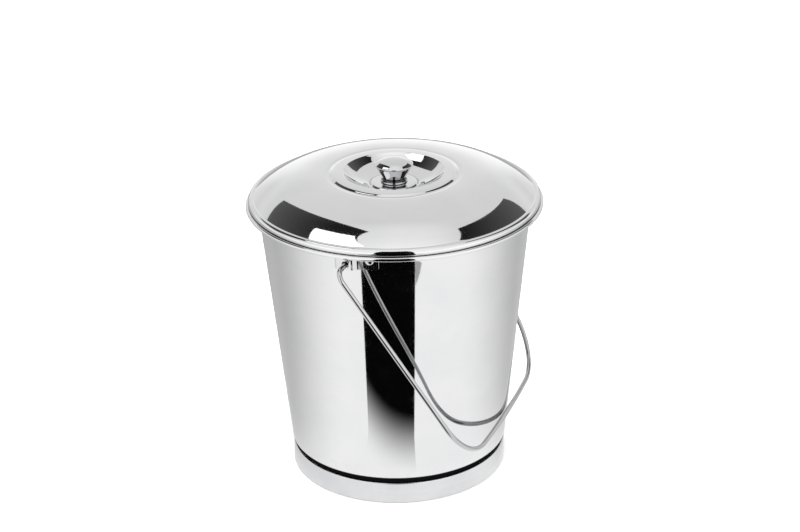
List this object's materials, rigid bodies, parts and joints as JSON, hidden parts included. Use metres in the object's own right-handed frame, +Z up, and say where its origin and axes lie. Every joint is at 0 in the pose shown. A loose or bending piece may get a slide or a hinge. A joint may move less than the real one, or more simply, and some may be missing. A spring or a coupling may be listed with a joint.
{
  "type": "surgical kick bucket",
  "caption": "Tapered polished steel bucket on a foot ring, with a swinging wire bail, and a lift-off domed lid that has a waisted knob in a dished finger well.",
  "frame": {"origin": "on the bucket's axis, on the plane that the foot ring stands on", "axes": "+Z up along the bucket's axis; X along the bail's pivot axis, through both ears; the bail hangs against the wall on the -Y side"},
  "size_m": [0.3308, 0.298, 0.3289],
  "materials": {
    "polished_steel": "mirror-polished stainless steel",
    "lid_steel": "mirror-polished stainless steel with fine spun lines",
    "wire_steel": "polished drawn stainless wire",
    "brushed_steel": "finely brushed round the ring",
    "plain_steel": "plain machined"
  },
  "bodies": {
    "bucket": {"bucket_body": "polished_steel", "rim_wire": "plain_steel", "foot_ring": "brushed_steel", "left_ear": "polished_steel", "right_ear": "polished_steel", "left_ear_rivet": "polished_steel", "right_ear_rivet": "polished_steel"},
    "bail": {"bail_handle": "wire_steel"},
    "lid": {"lid_shell": "lid_steel", "lid_knob": "lid_steel", "knob_flat_washer": "plain_steel", "knob_lock_washer": "plain_steel", "knob_screw": "plain_steel"}
  },
  "joints": [
    {"name": "bail_swing", "type": "hinge", "parent": "bucket", "child": "bail", "pos_m": [0, 0, 0.274], "axis": [-1, 0, 0], "range_deg": [0, 301.9]},
    {"name": "lid_lift", "type": "slide", "parent": "bucket", "child": "lid", "axis": [0, 0, 1], "range_m": [0, 0.2]}
  ]
}
